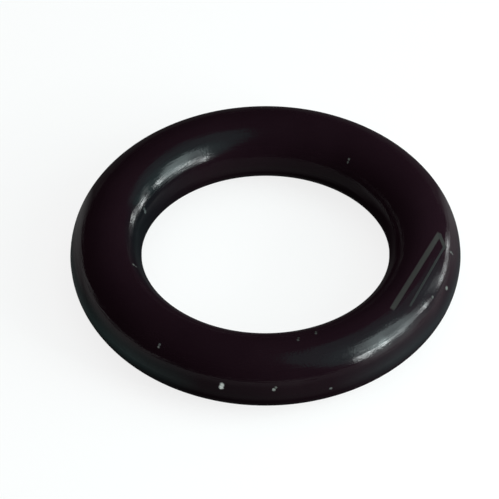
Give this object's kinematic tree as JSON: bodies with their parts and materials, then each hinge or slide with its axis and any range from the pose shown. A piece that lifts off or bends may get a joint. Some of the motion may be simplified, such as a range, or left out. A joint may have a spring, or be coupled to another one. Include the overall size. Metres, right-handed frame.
{
  "type": "o-ring",
  "caption": "Moulded rubber sealing ring of round section, with a fine parting ridge in its bore and round its outside.",
  "frame": {"origin": "centre of the ring, on its axis and in the plane of its parting line", "axes": "+Z along the ring's axis; X and Y lie in the plane of the ring, which is the same all round"},
  "size_m": [0.0194, 0.0194, 0.0036],
  "materials": {
    "nitrile_rubber": "black moulded rubber, half glossy"
  },
  "bodies": {
    "root": {"o_ring": "nitrile_rubber"}
  },
  "joints": []
}
